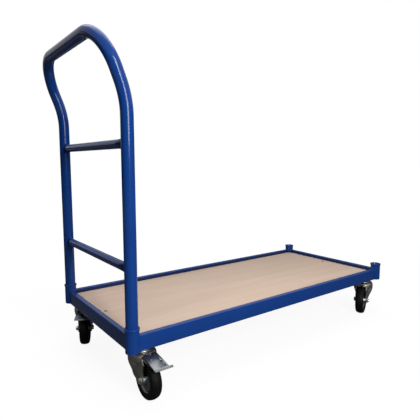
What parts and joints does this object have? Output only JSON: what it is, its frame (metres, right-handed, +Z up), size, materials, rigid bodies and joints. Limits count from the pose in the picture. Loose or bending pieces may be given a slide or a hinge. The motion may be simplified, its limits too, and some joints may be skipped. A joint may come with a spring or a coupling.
{
  "type": "platform cart",
  "caption": "Flat push cart with a sunk board deck in a tube frame, a bent lift-out handle with rungs, and swivel castors with foot brakes.",
  "frame": {"origin": "middle of the deck panel's top face", "axes": "+X along the deck from the handle end to the free end, +Y to the far side, +Z up from the deck"},
  "size_m": [1.1123, 0.5471, 0.8739],
  "materials": {
    "blue_paint": "glossy powder coat",
    "beech_board": "pale beech board, satin",
    "zinc_steel": "bright zinc plate",
    "rim_steel": "pressed steel, dull zinc",
    "black_rubber": "black rubber",
    "black_plastic": "moulded black plastic"
  },
  "bodies": {
    "frame": {"near_side_rail": "blue_paint", "far_side_rail": "blue_paint", "handle_end_rail": "blue_paint", "free_end_rail": "blue_paint", "handle_near_socket": "blue_paint", "handle_far_socket": "blue_paint", "free_near_socket": "blue_paint", "free_far_socket": "blue_paint", "deck_panel": "beech_board", "handle_end_bearer": "blue_paint", "middle_bearer": "blue_paint", "free_end_bearer": "blue_paint", "handle_end_ledge": "blue_paint", "free_end_ledge": "blue_paint", "handle_near_corner_plate": "blue_paint", "handle_far_corner_plate": "blue_paint", "free_near_corner_plate": "blue_paint", "free_far_corner_plate": "blue_paint", "handle_near_swivel_race": "zinc_steel", "handle_near_kingpin": "zinc_steel", "handle_far_swivel_race": "zinc_steel", "handle_far_kingpin": "zinc_steel", "free_near_swivel_race": "zinc_steel", "free_near_kingpin": "zinc_steel", "free_far_swivel_race": "zinc_steel", "free_far_kingpin": "zinc_steel"},
    "handle": {"handle_bow": "blue_paint", "lower_rung": "blue_paint", "upper_rung": "blue_paint", "near_leg_plug": "black_plastic", "far_leg_plug": "black_plastic"},
    "handle_near_swivel": {"handle_near_fork": "zinc_steel", "handle_near_axle_bolt": "zinc_steel", "handle_near_axle_nut": "zinc_steel"},
    "handle_near_wheel": {"handle_near_tyre": "black_rubber", "handle_near_rim": "rim_steel", "handle_near_hub_bush": "black_plastic"},
    "handle_near_brake": {"handle_near_brake_pedal": "zinc_steel"},
    "handle_far_swivel": {"handle_far_fork": "zinc_steel", "handle_far_axle_bolt": "zinc_steel", "handle_far_axle_nut": "zinc_steel"},
    "handle_far_wheel": {"handle_far_tyre": "black_rubber", "handle_far_rim": "rim_steel", "handle_far_hub_bush": "black_plastic"},
    "handle_far_brake": {"handle_far_brake_pedal": "zinc_steel"},
    "free_near_swivel": {"free_near_fork": "zinc_steel", "free_near_axle_bolt": "zinc_steel", "free_near_axle_nut": "zinc_steel"},
    "free_near_wheel": {"free_near_tyre": "black_rubber", "free_near_rim": "rim_steel", "free_near_hub_bush": "black_plastic"},
    "free_far_swivel": {"free_far_fork": "zinc_steel", "free_far_axle_bolt": "zinc_steel", "free_far_axle_nut": "zinc_steel"},
    "free_far_wheel": {"free_far_tyre": "black_rubber", "free_far_rim": "rim_steel", "free_far_hub_bush": "black_plastic"}
  },
  "joints": [
    {"name": "handle_lift", "type": "slide", "parent": "frame", "child": "handle", "axis": [0, 0, 1], "range_m": [0, 0.065]},
    {"name": "handle_near_swivel_turn", "type": "hinge", "parent": "frame", "child": "handle_near_swivel", "pos_m": [-0.474, -0.194, -0.028], "axis": [0, 0, 1], "continuous": true},
    {"name": "handle_near_wheel_spin", "type": "hinge", "parent": "handle_near_swivel", "child": "handle_near_wheel", "pos_m": [-0.47454, -0.225, -0.102], "axis": [0.9998, -0.0175, 0], "continuous": true},
    {"name": "handle_near_brake_press", "type": "hinge", "parent": "handle_near_swivel", "child": "handle_near_brake", "pos_m": [-0.47438, -0.216, -0.0485], "axis": [0.9998, -0.0175, 0], "range_deg": [0, 8], "stiffness_Nm_per_rad": 4, "springref_deg": -5.73},
    {"name": "handle_far_swivel_turn", "type": "hinge", "parent": "frame", "child": "handle_far_swivel", "pos_m": [-0.474, 0.194, -0.028], "axis": [0, 0, 1], "continuous": true},
    {"name": "handle_far_wheel_spin", "type": "hinge", "parent": "handle_far_swivel", "child": "handle_far_wheel", "pos_m": [-0.48759, 0.16614, -0.102], "axis": [0.8988, -0.4384, 0], "continuous": true},
    {"name": "handle_far_brake_press", "type": "hinge", "parent": "handle_far_swivel", "child": "handle_far_brake", "pos_m": [-0.48364, 0.17423, -0.0485], "axis": [0.8988, -0.4384, 0], "range_deg": [0, 8], "stiffness_Nm_per_rad": 4, "springref_deg": -5.73},
    {"name": "free_near_swivel_turn", "type": "hinge", "parent": "frame", "child": "free_near_swivel", "pos_m": [0.474, -0.194, -0.028], "axis": [0, 0, 1], "continuous": true},
    {"name": "free_near_wheel_spin", "type": "hinge", "parent": "free_near_swivel", "child": "free_near_wheel", "pos_m": [0.44546, -0.20611, -0.102], "axis": [0.3907, -0.9205, 0], "continuous": true},
    {"name": "free_far_swivel_turn", "type": "hinge", "parent": "frame", "child": "free_far_swivel", "pos_m": [0.474, 0.194, -0.028], "axis": [0, 0, 1], "continuous": true},
    {"name": "free_far_wheel_spin", "type": "hinge", "parent": "free_far_swivel", "child": "free_far_wheel", "pos_m": [0.44435, 0.18494, -0.102], "axis": [0.2924, -0.9563, 0], "continuous": true}
  ]
}
